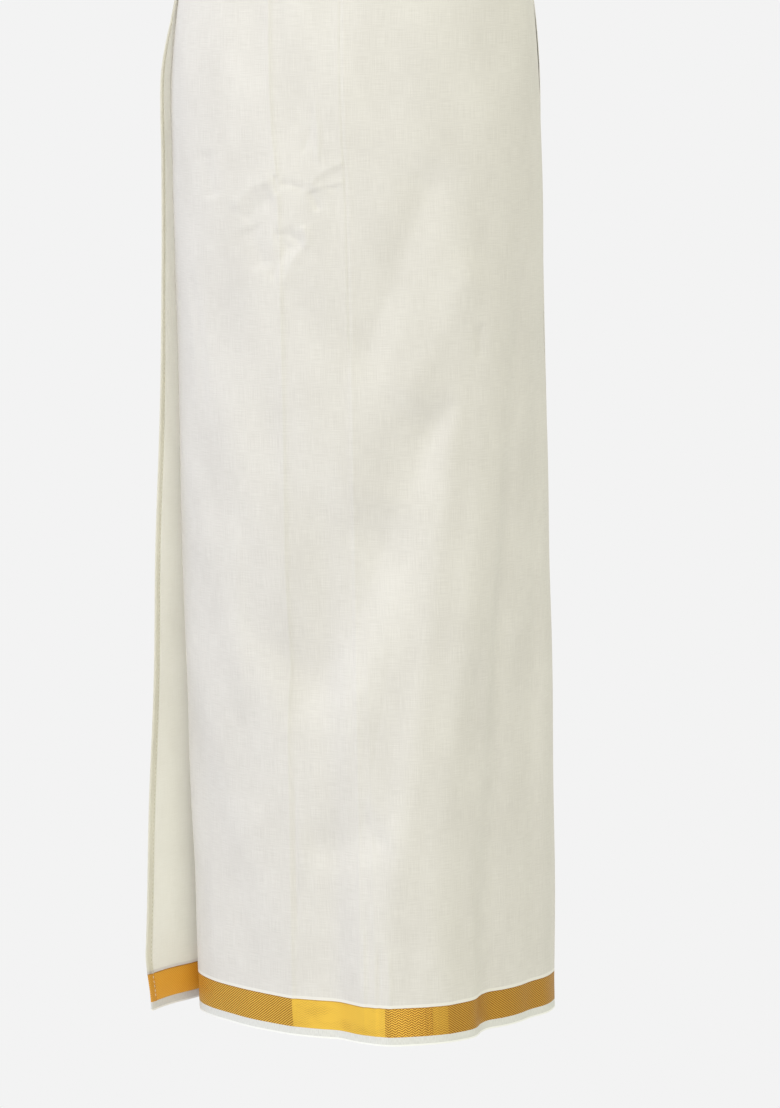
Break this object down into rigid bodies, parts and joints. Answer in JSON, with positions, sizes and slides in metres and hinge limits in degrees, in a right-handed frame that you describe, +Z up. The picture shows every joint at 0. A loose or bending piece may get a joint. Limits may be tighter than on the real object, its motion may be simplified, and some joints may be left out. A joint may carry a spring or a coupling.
{
  "type": "dhoti cloth",
  "caption": "Cotton dhoti with a woven gold border, wound ankle length, rolled over at the waist and hanging hollow as worn, its outer end free at one side.",
  "frame": {"origin": "centre of the waist opening, level with the top of the rolled waist", "axes": "+Z up, +Y towards the wearer's back, +X towards the wearer's left, where the outer end hangs free"},
  "size_m": [0.3803, 0.3027, 1.0396],
  "materials": {
    "cotton": "fine plain weave, cream white, soft low sheen, pressed",
    "zari": "woven gold thread, fine zigzag, satin metallic",
    "selvedge": "close white plain weave"
  },
  "bodies": {
    "root": {"front_flap": "cotton", "front_flap_zari": "zari", "front_flap_selvedge": "selvedge", "front_flap_end_hem": "cotton", "back_panel": "cotton", "back_panel_zari": "zari", "back_panel_selvedge": "selvedge", "inner_wrap": "cotton", "inner_wrap_zari": "zari", "inner_wrap_selvedge": "selvedge", "waist_roll": "cotton"}
  },
  "joints": []
}
